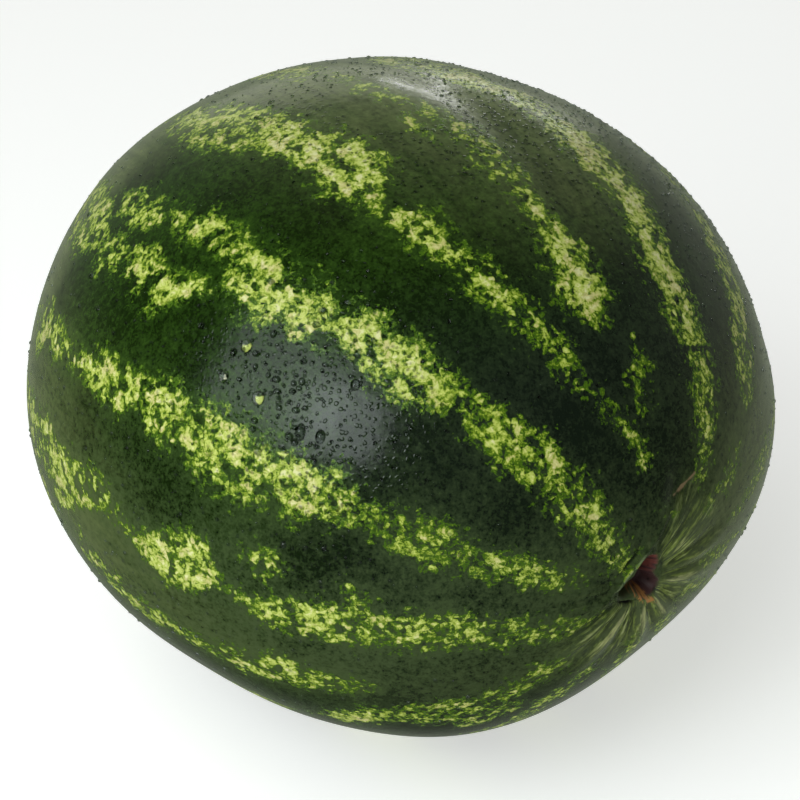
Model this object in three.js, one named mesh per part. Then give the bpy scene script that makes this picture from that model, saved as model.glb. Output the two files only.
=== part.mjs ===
// A whole watermelon as picked, lying on its side on a small flat spot. It is one solid that grew as
// one piece: the fruit with its shallow furrows and low swells, the withered blossom scar sunk in a
// puckered nose at +X, and the dry stub of the stem in a dimple at -X. Millimetres, +Z up.
import * as THREE from "three";

// Driving dimensions
const length = 270;
const width = 250;
const height = 218.8;
const restDepth = 2.2; // how much of the underside is pressed flat
const restBlend = 1.2; // height over which the skin rounds into the flat spot

// Blossom end: its pole lies a little off the long axis, in a puckered dip with the pit of the scar
const nose = { across: 3.5, up: -4.3, reach: 38 };
const blossomDip = { depth: 3.2, reach: 17 };
const pit = { radius: 6.8, depth: 5.5, wall: 2.6, corners: 3, cornerSize: 0.32, turn: 70 };
const lip = { rise: 0.9, halfWidth: 1.6, highest: 137, leastShare: 0.25 };
const pucker = { depth: 1.1, from: 7, peak: 15, to: 52, highest: 300, leastShare: 0.25 };
const puckerWaves = [
  { count: 13, turn: 20, share: 0.5 },
  { count: 19, turn: 75, share: 0.35 },
  { count: 7, turn: 140, share: 0.4 },
];

// Stem end: a dimple with the stub of the stem standing in it
const stemDip = { depth: 7, reach: 21 };
const stub = { radius: 4.6, length: 16, flare: 4.6, bend: 2.4, ridges: 5, ridgeSize: 0.08 };

// Low swells and dents of the grown shape: where they are, how far they reach and how high they stand
const swells = [
  { longitude: 247, colatitude: 48, reach: 34, rise: 2.5 },
  { longitude: 303, colatitude: 31, reach: 34, rise: -2.3 },
  { longitude: 285, colatitude: 33, reach: 26, rise: -0.8 },
  { longitude: 216, colatitude: 77, reach: 30, rise: -1.9 },
  { longitude: 185, colatitude: 108, reach: 30, rise: 0.8 },
  { longitude: 157, colatitude: 126, reach: 30, rise: -0.7 },
  { longitude: 127, colatitude: 130, reach: 28, rise: 0.6 },
  { longitude: 60, colatitude: 101, reach: 26, rise: -1.2 },
  { longitude: 2, colatitude: 44, reach: 34, rise: 1.6 },
  { longitude: 55, colatitude: 15.5, reach: 7, rise: -1.3 },
];

// Furrows run along a meridian and fade out on both sides of their middle
const furrows = [
  { longitude: 80, halfWidth: 5, colatitude: 84, halfLength: 26, depth: 1.6 },
  { longitude: 47, halfWidth: 7, colatitude: 90, halfLength: 50, depth: 0.6 },
  { longitude: 139, halfWidth: 8, colatitude: 95, halfLength: 50, depth: 0.4 },
  { longitude: 18, halfWidth: 6, colatitude: 90, halfLength: 50, depth: 0.9 },
  { longitude: 252, halfWidth: 7, colatitude: 105, halfLength: 40, depth: 0.7 },
  { longitude: 330, halfWidth: 8, colatitude: 95, halfLength: 50, depth: 0.8 },
];

// Fineness of the mesh
const meridians = 96;
const bodyRings = 28;

const halfLength = length / 2;
const halfWidth = width / 2;
const halfHeight = height / 2;
const radians = THREE.MathUtils.degToRad;
const smooth = THREE.MathUtils.smoothstep;

// A bell curve that is 1 in the middle and fades out over its reach
const bell = (distance, reach) => Math.exp(-((distance / reach) ** 2));

// Smallest turn between two longitudes, in radians
const turnBetween = (a, b) => Math.atan2(Math.sin(a - b), Math.cos(a - b));

// Colatitude 0 is the blossom end at +X. Longitude 0 is +Y and 90 degrees is +Z.
function onEllipsoid(colatitude, longitude) {
  return new THREE.Vector3(
    halfLength * Math.cos(colatitude),
    halfWidth * Math.sin(colatitude) * Math.cos(longitude),
    halfHeight * Math.sin(colatitude) * Math.sin(longitude),
  );
}

function outwards(point) {
  const normal = new THREE.Vector3(
    point.x / halfLength ** 2,
    point.y / halfWidth ** 2,
    point.z / halfHeight ** 2,
  );
  return normal.normalize();
}

const swellCentres = swells.map((swell) => ({
  ...swell,
  centre: onEllipsoid(radians(swell.colatitude), radians(swell.longitude)),
}));

function swellHeight(point) {
  return swellCentres.reduce(
    (sum, { centre, reach, rise }) => sum + rise * bell(point.distanceTo(centre), reach),
    0,
  );
}

function furrowDepth(colatitude, longitude) {
  return furrows.reduce((sum, furrow) => {
    const along = bell(colatitude - radians(furrow.colatitude), radians(furrow.halfLength));
    const across = bell(
      turnBetween(longitude, radians(furrow.longitude)),
      radians(furrow.halfWidth),
    );
    return sum + furrow.depth * along * across;
  }, 0);
}

// Share that is 1 at one longitude and falls to a least share on the other side of the axis
function shareAround(longitude, { highest, leastShare }) {
  const around = (1 + Math.cos(longitude - radians(highest))) / 2;
  return THREE.MathUtils.lerp(leastShare, 1, around);
}

// Moves a point of the blossom half along the ellipsoid, so that the pole comes to lie off the axis
function drawnToNose({ y, z }) {
  const share = bell(Math.hypot(y, z), nose.reach);
  const across = y + nose.across * share;
  const up = z + nose.up * share;
  const along = 1 - (across / halfWidth) ** 2 - (up / halfHeight) ** 2;
  return new THREE.Vector3(halfLength * Math.sqrt(Math.max(along, 0)), across, up);
}

// Folds of skin drawn in towards the scar
function puckerHeight(fromAxis, longitude) {
  const strength =
    smooth(fromAxis, pucker.from, pucker.peak) * (1 - smooth(fromAxis, pucker.peak, pucker.to));
  const wave = puckerWaves.reduce(
    (sum, { count, turn, share }) => sum + share * Math.cos(count * longitude + radians(turn)),
    0,
  );
  return pucker.depth * strength * shareAround(longitude, pucker) * wave;
}

// The pit of the scar, with a rounded three-cornered edge and a thin lip round it
function pitHeight(fromAxis, longitude) {
  const corner = Math.cos(pit.corners * (longitude - radians(pit.turn)));
  const edge = pit.radius * (1 + pit.cornerSize * corner);
  const brink = edge + pit.wall / 2;
  const inside = 1 - smooth(fromAxis, edge - pit.wall, brink);
  const onLip = bell(fromAxis - brink, lip.halfWidth) * shareAround(longitude, lip);
  return lip.rise * onLip - pit.depth * inside;
}

function skinPoint(colatitude, longitude) {
  const plain = onEllipsoid(colatitude, longitude);
  const point = plain.x > 0 ? drawnToNose(plain) : plain;
  const fromAxis = Math.hypot(plain.y, plain.z);
  let rise = swellHeight(point) - furrowDepth(colatitude, longitude);
  if (plain.x > 0) {
    rise -= blossomDip.depth * bell(fromAxis, blossomDip.reach);
    rise += puckerHeight(fromAxis, longitude) + pitHeight(fromAxis, longitude);
  } else {
    rise -= stemDip.depth * bell(fromAxis, stemDip.reach);
  }
  return point.clone().addScaledVector(outwards(point), rise);
}

// Colatitude at which the skin is this far from the long axis, measured halfway between Y and Z
function colatitudeAt(fromAxis) {
  return Math.asin(fromAxis / ((halfWidth + halfHeight) / 2));
}

// Presses the underside flat, rounding the skin into the flat spot
function pressedFlat(z) {
  const floor = -halfHeight + restDepth;
  const above = z - floor;
  if (above >= restBlend) return z;
  if (above <= -restBlend) return floor;
  return floor + (above + restBlend) ** 2 / (4 * restBlend);
}

// Rings of the fruit, from the scar to the foot of the stub
const nearBlossom = [2.2, 4, 5.3, 6.6, 8, 10, 12.5, 15.5, 19, 23, 28].map(colatitudeAt);
const nearStem = [28, 22, 17, 13, stub.radius + stub.flare].map((r) => Math.PI - colatitudeAt(r));
const firstBodyRing = nearBlossom.at(-1);
const lastBodyRing = nearStem[0];
const alongBody = Array.from({ length: bodyRings - 1 }, (_, i) =>
  THREE.MathUtils.lerp(firstBodyRing, lastBodyRing, (i + 1) / bodyRings),
);
const colatitudes = [...nearBlossom, ...alongBody, ...nearStem];

// Rings of the stub: how far each is up the stub and how wide it is, from its flared foot to its tip
const stubRings = [
  { up: 0.1, radius: 1.38 },
  { up: 0.25, radius: 1.1 },
  { up: 0.5, radius: 1 },
  { up: 0.78, radius: 0.98 },
  { up: 0.95, radius: 1.08 },
  { up: 1, radius: 0.9 },
];
const stubFoot = skinPoint(nearStem.at(-1), Math.PI / 2).x;

function stubPoint({ up, radius }, longitude) {
  const ridge = 1 + stub.ridgeSize * Math.cos(stub.ridges * longitude);
  const r = stub.radius * radius * ridge;
  return new THREE.Vector3(
    stubFoot - stub.length * up,
    r * Math.cos(longitude),
    r * Math.sin(longitude) + stub.bend * up ** 2,
  );
}

function fruitGeometry() {
  const vertices = [];
  const add = ({ x, y, z }) => vertices.push(x, y, pressedFlat(z));
  const longitudes = Array.from({ length: meridians }, (_, i) => (2 * Math.PI * i) / meridians);
  add(skinPoint(0, 0));
  for (const colatitude of colatitudes) {
    longitudes.forEach((longitude) => add(skinPoint(colatitude, longitude)));
  }
  for (const ring of stubRings) {
    longitudes.forEach((longitude) => add(stubPoint(ring, longitude)));
  }
  add(new THREE.Vector3(stubFoot - stub.length, 0, stub.bend));

  const rings = colatitudes.length + stubRings.length;
  const tip = 1 + rings * meridians;
  const at = (ring, i) => 1 + ring * meridians + (i % meridians);
  const triangles = [];
  for (let i = 0; i < meridians; i++) {
    triangles.push(0, at(0, i), at(0, i + 1));
    for (let ring = 0; ring < rings - 1; ring++) {
      const [a, b] = [at(ring, i), at(ring, i + 1)];
      const [c, d] = [at(ring + 1, i), at(ring + 1, i + 1)];
      triangles.push(a, c, b, b, c, d);
    }
    triangles.push(at(rings - 1, i), tip, at(rings - 1, i + 1));
  }
  const geometry = new THREE.BufferGeometry();
  geometry.setAttribute("position", new THREE.Float32BufferAttribute(vertices, 3));
  geometry.setIndex(triangles);

  // The origin is the middle of the footprint, on the surface that the fruit lies on
  geometry.computeBoundingBox();
  const { min, max } = geometry.boundingBox;
  geometry.translate(-(min.x + max.x) / 2, -(min.y + max.y) / 2, -min.z);
  geometry.computeVertexNormals();
  return geometry;
}

const rind = new THREE.MeshStandardMaterial({ color: 0x24401c, roughness: 0.35, metalness: 0 });

const fruit = new THREE.Mesh(fruitGeometry(), rind);
fruit.name = "fruit";

const watermelon = new THREE.Group();
watermelon.name = "watermelon";
watermelon.add(fruit);

export default watermelon;
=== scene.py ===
"""The looks of a whole watermelon that lies on its side, with water beads on its rind.

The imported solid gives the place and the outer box. The fruit is grown again from the same rule on a
finer mesh by Geometry Nodes, then its stripes are laid out on it, and its finish is made by shader
nodes that read those layouts. Lengths are in metres and angles in degrees unless a name says otherwise.
"""

import math
import random

import bpy
import numpy as np
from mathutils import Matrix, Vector


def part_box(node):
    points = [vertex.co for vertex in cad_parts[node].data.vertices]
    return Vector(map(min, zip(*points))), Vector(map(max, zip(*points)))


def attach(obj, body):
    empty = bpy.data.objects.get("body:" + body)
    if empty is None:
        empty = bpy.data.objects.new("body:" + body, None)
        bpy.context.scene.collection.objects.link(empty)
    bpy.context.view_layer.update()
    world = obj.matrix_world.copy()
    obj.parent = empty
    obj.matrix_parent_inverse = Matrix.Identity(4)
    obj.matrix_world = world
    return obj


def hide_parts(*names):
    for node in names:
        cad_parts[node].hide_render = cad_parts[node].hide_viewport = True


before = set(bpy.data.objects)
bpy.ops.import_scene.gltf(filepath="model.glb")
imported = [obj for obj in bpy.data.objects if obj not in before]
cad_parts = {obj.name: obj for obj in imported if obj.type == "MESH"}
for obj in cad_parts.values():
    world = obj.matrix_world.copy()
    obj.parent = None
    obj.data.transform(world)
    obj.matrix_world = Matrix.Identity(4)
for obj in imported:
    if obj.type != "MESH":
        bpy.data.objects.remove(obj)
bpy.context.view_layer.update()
fruit_low, fruit_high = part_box("fruit")

MM = 0.001

# Driving sizes of the fruit
LENGTH = 270 * MM
WIDTH = 250 * MM
HEIGHT = 218.8 * MM
REST_DEPTH = 2.2 * MM
REST_BLEND = 1.2 * MM

# Blossom end: its pole lies a little off the long axis, in a puckered dip with the pit of the scar
NOSE = {"across": 3.5 * MM, "up": -4.3 * MM, "reach": 38 * MM}
BLOSSOM_DIP = {"depth": 3.2 * MM, "reach": 17 * MM}
PIT = {
    "radius": 6.8 * MM,
    "depth": 5.5 * MM,
    "wall": 2.6 * MM,
    "corners": 3,
    "corner_size": 0.32,
    "turn": 70,
}
LIP = {"rise": 0.9 * MM, "half_width": 1.6 * MM, "highest": 137, "least_share": 0.25}
PUCKER = {
    "depth": 1.1 * MM,
    "start": 7 * MM,
    "peak": 15 * MM,
    "end": 52 * MM,
    "highest": 300,
    "least_share": 0.25,
}
PUCKER_WAVES = (
    {"count": 13, "turn": 20, "share": 0.5},
    {"count": 19, "turn": 75, "share": 0.35},
    {"count": 7, "turn": 140, "share": 0.4},
)


def crease(turn, **millimetres):
    """A straight crease or fold. It lies square to a turn about the axis, at a distance from the axis, and
    is strongest at a place along itself."""
    return {"turn": turn} | {name: size * MM for name, size in millimetres.items()}


# Creases in and beside the pit
CREASES = {
    "fold": crease(turn=131, distance=8.3, along=0, half_width=1.0, half_length=19, rise=1.3),
    "fold_gap": crease(turn=131, distance=10.7, along=-3.6, half_width=0.8, half_length=5, rise=-0.9),
    "slit": crease(turn=243, distance=8.6, along=-1.5, half_width=0.7, half_length=4.6, rise=-2.2),
    "shreds": crease(turn=226, distance=4.2, along=6.4, half_width=1.6, half_length=6.5, rise=0.8),
}

# Stem end: a dimple with the stub of the stem standing in it
STEM_DIP = {"depth": 7 * MM, "reach": 21 * MM}
STUB = {
    "radius": 4.6 * MM,
    "length": 16 * MM,
    "flare": 4.6 * MM,
    "bend": 2.4 * MM,
    "ridges": 5,
    "ridge_size": 0.08,
}
STUB_PROFILE = ((0.1, 1.38), (0.25, 1.1), (0.5, 1.0), (0.78, 0.98), (0.95, 1.08), (1.0, 0.9))

# Low swells and dents: longitude and colatitude, how far each reaches and how high it stands
SWELLS = (
    (247, 48, 34 * MM, 2.5 * MM),
    (303, 31, 34 * MM, -2.3 * MM),
    (285, 33, 26 * MM, -0.8 * MM),
    (216, 77, 30 * MM, -1.9 * MM),
    (185, 108, 30 * MM, 0.8 * MM),
    (157, 126, 30 * MM, -0.7 * MM),
    (127, 130, 28 * MM, 0.6 * MM),
    (60, 101, 26 * MM, -1.2 * MM),
    (2, 44, 34 * MM, 1.6 * MM),
    (55, 15.5, 7 * MM, -1.3 * MM),
)

# Furrows: longitude and half width, colatitude and half length, and depth
FURROWS = (
    (80, 5, 84, 26, 1.6 * MM),
    (47, 7, 90, 50, 0.6 * MM),
    (139, 8, 95, 50, 0.4 * MM),
    (18, 6, 90, 50, 0.9 * MM),
    (252, 7, 105, 40, 0.7 * MM),
    (330, 8, 95, 50, 0.8 * MM),
)

# Fineness of the mesh
MERIDIANS = 480
SCAR_RINGS = 46
BODY_RINGS = 120
DIMPLE_RINGS = 12
STUB_RINGS = 12
SCAR_REACH = 30 * MM
SCAR_CROWDING = 0.45  # how much closer together the rings stand in the middle of the scar
DIMPLE_REACH = 28 * MM

HALF_SIZES = np.array((LENGTH, WIDTH, HEIGHT)) / 2
MEAN_RADIUS = (WIDTH + HEIGHT) / 4
CENTRE_HEIGHT = HEIGHT / 2 - REST_DEPTH
FAR = 15.0  # millimetres, past which the skin doesn't show that a stripe or the pit is near

# The camera stands where the photograph was taken from
VIEW = {
    "azimuth": 56.2,
    "elevation": 32.3,
    "distance": 0.776,
    "lens": 100,
    "sensor_width": 36,
    "aim_right": 1.6 * MM,
    "aim_down": 5.5 * MM,
}


# Node trees


class Signal:
    """What comes out of a node. Arithmetic on it adds Math nodes to its tree."""

    def __init__(self, nodes, socket):
        self.nodes = nodes
        self.socket = socket

    def __add__(self, other):
        return self.nodes.math("ADD", self, other)

    def __sub__(self, other):
        return self.nodes.math("SUBTRACT", self, other)

    def __rsub__(self, other):
        return self.nodes.math("SUBTRACT", other, self)

    def __mul__(self, other):
        return self.nodes.math("MULTIPLY", self, other)

    def __truediv__(self, other):
        return self.nodes.math("DIVIDE", self, other)

    def __rtruediv__(self, other):
        return self.nodes.math("DIVIDE", other, self)

    def __pow__(self, other):
        return self.nodes.math("POWER", self, other)

    def __neg__(self):
        return self.nodes.math("MULTIPLY", self, -1)

    __radd__ = __add__
    __rmul__ = __mul__

    def output(self, name):
        """Another output of the same node."""
        return Signal(self.nodes, socket_named(self.socket.node.outputs, name))


def socket_named(sockets, name):
    """A socket by its identifier, or by its place in the list."""
    if isinstance(name, int):
        return sockets[name]
    for socket in sockets:
        if socket.identifier == name:
            return socket
    raise KeyError(f"no socket {name!r} among {[s.identifier for s in sockets]}")


class Nodes:
    """A node tree built by calls. Each call adds one node and returns what comes out of it."""

    def __init__(self, tree):
        self.tree = tree

    def add(self, kind, settings=None, inputs=None, output=0):
        node = self.tree.nodes.new(kind)
        for name, value in (settings or {}).items():
            setattr(node, name, value)
        for name, value in (inputs or {}).items():
            self.feed(socket_named(node.inputs, name), value)
        return Signal(self, socket_named(node.outputs, output)) if len(node.outputs) else node

    def feed(self, socket, value):
        if isinstance(value, Signal):
            self.tree.links.new(value.socket, socket)
        else:
            socket.default_value = value

    def math(self, operation, a, b=0.0):
        return self.add("ShaderNodeMath", {"operation": operation}, {"Value": a, "Value_001": b})

    def smaller(self, a, b):
        return self.math("MINIMUM", a, b)

    def larger(self, a, b):
        return self.math("MAXIMUM", a, b)

    def bell(self, distance, reach):
        """1 in the middle, fading out over the reach."""
        return self.math("EXPONENT", -((distance / reach) ** 2))

    def smooth(self, value, start, end):
        """0 before the start, 1 after the end and a smooth step between them."""
        inputs = {"Value": value, "From Min": start, "From Max": end}
        return self.add("ShaderNodeMapRange", {"interpolation_type": "SMOOTHSTEP"}, inputs)

    def vector(self, operation, a, b=(0, 0, 0), output="Vector"):
        inputs = {"Vector": a, "Vector_001": b}
        return self.add("ShaderNodeVectorMath", {"operation": operation}, inputs, output)

    def scaled(self, a, factor):
        inputs = {"Vector": a, "Scale": factor}
        return self.add("ShaderNodeVectorMath", {"operation": "SCALE"}, inputs, "Vector")

    def distance(self, a, b):
        return self.vector("DISTANCE", a, b, "Value")

    def dot(self, a, b):
        return self.vector("DOT_PRODUCT", a, b, "Value")

    def joined(self, x, y, z):
        return self.add("ShaderNodeCombineXYZ", None, {"X": x, "Y": y, "Z": z})

    def split(self, vector):
        x = self.add("ShaderNodeSeparateXYZ", None, {"Vector": vector})
        return x, x.output("Y"), x.output("Z")

    def mix(self, factor, a, b):
        """Colour a where the factor is 0 and colour b where it is 1."""
        inputs = {"Factor_Float": factor, "A_Color": a, "B_Color": b}
        return self.add("ShaderNodeMix", {"data_type": "RGBA"}, inputs, "Result_Color")

    def noise(self, vector, scale, detail=2.0, roughness=0.5):
        inputs = {"Vector": vector, "Scale": scale, "Detail": detail, "Roughness": roughness}
        return self.add("ShaderNodeTexNoise", None, inputs)

    def cells(self, vector, scale):
        return self.add("ShaderNodeTexVoronoi", None, {"Vector": vector, "Scale": scale}, "Distance")


def colour(red, green, blue):
    return (red, green, blue, 1.0)


def new_object(name, data):
    """An object in the scene that holds the data."""
    thing = bpy.data.objects.new(name, data)
    bpy.context.scene.collection.objects.link(thing)
    return thing


# Geometry Nodes: a tree with named inputs, and the plain mesh that it makes


def geometry_tree(name, sizes):
    """A new tree with a Geometry input and one named number for each size. Returns it and its inputs."""
    tree = bpy.data.node_groups.new(name, "GeometryNodeTree")
    tree.interface.new_socket("Geometry", in_out="OUTPUT", socket_type="NodeSocketGeometry")
    tree.interface.new_socket("Geometry", in_out="INPUT", socket_type="NodeSocketGeometry")
    for size, value in sizes.items():
        kind = "NodeSocketInt" if isinstance(value, int) else "NodeSocketFloat"
        tree.interface.new_socket(size, in_out="INPUT", socket_type=kind)
    nodes = Nodes(tree)
    group_input = tree.nodes.new("NodeGroupInput")
    return nodes, {s.name: Signal(nodes, s) for s in group_input.outputs if s.name}


def end_tree(nodes, geometry, material):
    realized = nodes.add("GeometryNodeRealizeInstances", None, {"Geometry": geometry})
    finished = nodes.add("GeometryNodeSetMaterial", None, {"Geometry": realized, "Material": material})
    group_output = nodes.tree.nodes.new("NodeGroupOutput")
    nodes.tree.links.new(finished.socket, group_output.inputs[0])


def plain_mesh_of(name, base, tree, sizes):
    """Runs the tree on a base mesh and returns the outcome as an object with no modifier."""
    thing = new_object(name, base)
    modifier = thing.modifiers.new(tree.name, "NODES")
    modifier.node_group = tree
    for item in tree.interface.items_tree:
        if item.in_out == "INPUT" and item.name in sizes:
            modifier[item.identifier] = sizes[item.name]
    bpy.context.view_layer.update()
    evaluated = thing.evaluated_get(bpy.context.evaluated_depsgraph_get())
    mesh = bpy.data.meshes.new_from_object(evaluated)
    thing.modifiers.clear()
    thing.data = mesh
    mesh.name = name
    return thing


# The fruit's shape


def ring_colatitudes():
    """Colatitudes of the rings on the skin, in radians, close together round the scar."""
    steps = np.linspace(0, 1, SCAR_RINGS + 1)[1:]
    from_axis = SCAR_REACH * ((1 - SCAR_CROWDING) * steps + SCAR_CROWDING * steps**2)
    near_scar = np.arcsin(from_axis / MEAN_RADIUS)
    last = math.pi - math.asin(DIMPLE_REACH / MEAN_RADIUS)
    body = np.linspace(near_scar[-1], last, BODY_RINGS + 1)[1:]
    dimple = np.linspace(DIMPLE_REACH, STUB["radius"] + STUB["flare"], DIMPLE_RINGS + 1)[1:]
    return np.concatenate([near_scar, body, math.pi - np.arcsin(dimple / MEAN_RADIUS)])


def stub_rings():
    """How far up the stub each of its rings is, and the ring's radius as a share."""
    heights = np.linspace(0, 1, STUB_RINGS + 1)[1:]
    ups, shares = zip(*STUB_PROFILE)
    return [(up, float(np.interp(up, ups, shares))) for up in heights]


def base_sphere():
    """A unit sphere with its poles on X, whose points say where they are on the fruit."""
    skin = ring_colatitudes()
    stub = stub_rings()
    turns = np.linspace(0, 2 * math.pi, MERIDIANS, endpoint=False)
    last = skin[-1]
    stub_colatitudes = [last + (math.pi - last) * (i + 1) / (len(stub) + 2) for i in range(len(stub))]
    colatitudes = np.concatenate([skin, stub_colatitudes])
    ups = np.concatenate([np.zeros(len(skin)), [up for up, _ in stub]])
    shares = np.concatenate([np.ones(len(skin)), [share for _, share in stub]])
    rings = len(colatitudes)

    ring_points = on_unit_sphere(np.repeat(colatitudes, MERIDIANS), np.tile(turns, rings))
    points = np.concatenate([[(1, 0, 0)], ring_points, [(-1, 0, 0)]])
    tip = len(points) - 1

    def at(ring, i):
        return 1 + ring * MERIDIANS + i % MERIDIANS

    faces = []
    for i in range(MERIDIANS):
        faces.append((0, at(0, i), at(0, i + 1)))
        for ring in range(rings - 1):
            faces.append((at(ring, i), at(ring + 1, i), at(ring + 1, i + 1), at(ring, i + 1)))
        faces.append((at(rings - 1, i), tip, at(rings - 1, i + 1)))

    mesh = bpy.data.meshes.new("sphere")
    mesh.from_pydata(points.tolist(), [], faces)
    store(mesh, "up_stub", np.concatenate([[0], np.repeat(ups, MERIDIANS), [1]]))
    store(mesh, "stub_share", np.concatenate([[1], np.repeat(shares, MERIDIANS), [0]]))
    return mesh


def places_of(mesh):
    """The places of the mesh's points, one in each row."""
    places = np.empty(len(mesh.vertices) * 3, np.float32)
    mesh.vertices.foreach_get("co", places)
    return places.reshape(-1, 3)


def store(mesh, name, values):
    """Writes one number for each point of the mesh."""
    attribute = mesh.attributes.new(name, "FLOAT", "POINT")
    attribute.data.foreach_set("value", np.asarray(values, np.float32))


def around_share(nodes, longitude, spec):
    """1 at the spec's highest longitude, falling to its least share on the other side of the axis."""
    around = (nodes.math("COSINE", longitude - math.radians(spec["highest"])) + 1) / 2
    return spec["least_share"] + (1 - spec["least_share"]) * around


def swell_height(nodes, point, half_sizes):
    total = 0.0
    for longitude, colatitude, reach, rise in SWELLS:
        unit = on_unit_sphere(math.radians(colatitude), math.radians(longitude))
        centre = nodes.vector("MULTIPLY", half_sizes, tuple(unit))
        total = total + rise * nodes.bell(nodes.distance(point, centre), reach)
    return total


def on_unit_sphere(colatitude, longitude):
    """The place at two angles in radians, or one place for each pair of them."""
    ring = np.sin(colatitude)
    return np.stack([np.cos(colatitude), ring * np.cos(longitude), ring * np.sin(longitude)], axis=-1)


def skin_place(longitude, colatitude):
    """A place on the plain ellipsoid, from its middle."""
    return tuple(on_unit_sphere(math.radians(colatitude), math.radians(longitude)) * HALF_SIZES)


def turn_between(nodes, angle, constant):
    """Smallest turn between an angle and a constant one, in radians."""
    difference = angle - constant
    return nodes.math("ARCTAN2", nodes.math("SINE", difference), nodes.math("COSINE", difference))


def furrow_depth(nodes, colatitude, longitude):
    total = 0.0
    for middle, half_width, down, half_length, depth in FURROWS:
        across = nodes.bell(turn_between(nodes, longitude, math.radians(middle)), math.radians(half_width))
        along = nodes.bell(colatitude - math.radians(down), math.radians(half_length))
        total = total + depth * across * along
    return total


def pucker_height(nodes, from_axis, longitude):
    """Folds of skin drawn in towards the scar."""
    grows = nodes.smooth(from_axis, PUCKER["start"], PUCKER["peak"])
    fades = 1 - nodes.smooth(from_axis, PUCKER["peak"], PUCKER["end"])
    wave = 0.0
    for spec in PUCKER_WAVES:
        angle = longitude * spec["count"] + math.radians(spec["turn"])
        wave = wave + spec["share"] * nodes.math("COSINE", angle)
    return PUCKER["depth"] * grows * fades * around_share(nodes, longitude, PUCKER) * wave


def pit_edge(nodes, longitude, radius):
    """How far the pit's rounded three-cornered edge is from the scar's middle."""
    corner = nodes.math("COSINE", (longitude - math.radians(PIT["turn"])) * PIT["corners"])
    return radius * (1 + PIT["corner_size"] * corner)


def pit_height(nodes, from_axis, longitude, edge, depth):
    """The pit of the scar, with a thin lip round it."""
    brink = edge + PIT["wall"] / 2
    inside = 1 - nodes.smooth(from_axis, edge - PIT["wall"], brink)
    on_lip = nodes.bell(from_axis - brink, LIP["half_width"]) * around_share(nodes, longitude, LIP)
    return LIP["rise"] * on_lip - depth * inside


def on_crease(nodes, y, z, spec):
    """1 in the middle of a crease, fading out across it and along it."""
    turn = math.radians(spec["turn"])
    beside = y * math.cos(turn) + z * math.sin(turn) - spec["distance"]
    along = z * math.cos(turn) - y * math.sin(turn) - spec["along"]
    return nodes.bell(beside, spec["half_width"]) * nodes.bell(along, spec["half_length"])


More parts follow.
